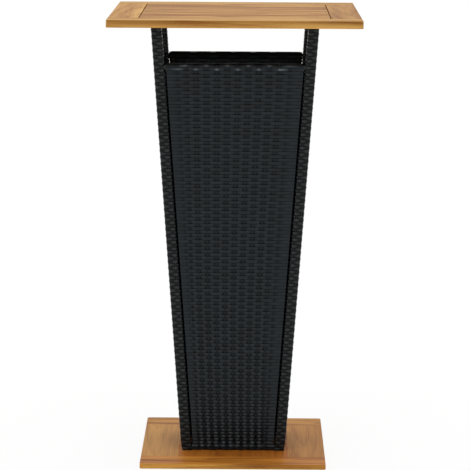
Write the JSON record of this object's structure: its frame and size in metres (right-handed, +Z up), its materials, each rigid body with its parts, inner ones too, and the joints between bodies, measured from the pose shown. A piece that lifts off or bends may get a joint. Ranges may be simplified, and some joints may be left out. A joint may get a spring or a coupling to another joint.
{
  "type": "rattan bar table",
  "caption": "Bar-height table: square wooden top on a leaning woven-rattan tower with an open rim, on a square wooden base.",
  "frame": {"origin": "on the floor, under the middle of the table", "axes": "+Z up, +X to the right seen from the front, front towards -Y"},
  "size_m": [0.6, 0.6, 1.1],
  "materials": {
    "top_frame_wood": "oiled acacia, sanded",
    "top_board_wood": "oiled acacia, sanded",
    "base_rail_wood": "oiled acacia, sanded",
    "base_board_wood": "oiled acacia, sanded",
    "coated_steel": "matt black powder coat",
    "rattan_wrap": "extruded polyethylene strand, satin",
    "rattan_panel": "extruded polyethylene strand, satin",
    "zinc_steel": "zinc plated",
    "glide_plastic": "moulded nylon"
  },
  "bodies": {
    "root": {"top_rail_front": "top_frame_wood", "top_rail_back": "top_frame_wood", "top_stile_left": "top_frame_wood", "top_stile_right": "top_frame_wood", "top_board_1": "top_board_wood", "top_board_2": "top_board_wood", "top_board_3": "top_board_wood", "top_board_4": "top_board_wood", "top_board_5": "top_board_wood", "base_rail_front": "base_rail_wood", "base_rail_back": "base_rail_wood", "base_board_1": "base_board_wood", "base_board_2": "base_board_wood", "base_board_3": "base_board_wood", "base_board_4": "base_board_wood", "base_board_5": "base_board_wood", "leg_front_left": "coated_steel", "leg_front_right": "coated_steel", "leg_back_left": "coated_steel", "leg_back_right": "coated_steel", "leg_wrap_front_left": "rattan_wrap", "leg_wrap_front_right": "rattan_wrap", "leg_wrap_back_left": "rattan_wrap", "leg_wrap_back_right": "rattan_wrap", "rim_rail_front": "coated_steel", "rim_rail_back": "coated_steel", "rim_rail_left": "coated_steel", "rim_rail_right": "coated_steel", "mid_rail_front": "coated_steel", "mid_rail_back": "coated_steel", "mid_rail_left": "coated_steel", "mid_rail_right": "coated_steel", "foot_rail_front": "coated_steel", "foot_rail_back": "coated_steel", "foot_rail_left": "coated_steel", "foot_rail_right": "coated_steel", "stile_front_1": "coated_steel", "stile_front_2": "coated_steel", "stile_back_1": "coated_steel", "stile_back_2": "coated_steel", "stile_left_1": "coated_steel", "stile_left_2": "coated_steel", "stile_right_1": "coated_steel", "stile_right_2": "coated_steel", "weave_front": "rattan_panel", "weave_back": "rattan_panel", "weave_left": "rattan_panel", "weave_right": "rattan_panel", "top_screws": "zinc_steel", "base_bolts": "zinc_steel", "base_nuts": "zinc_steel", "glides": "glide_plastic"}
  },
  "joints": []
}
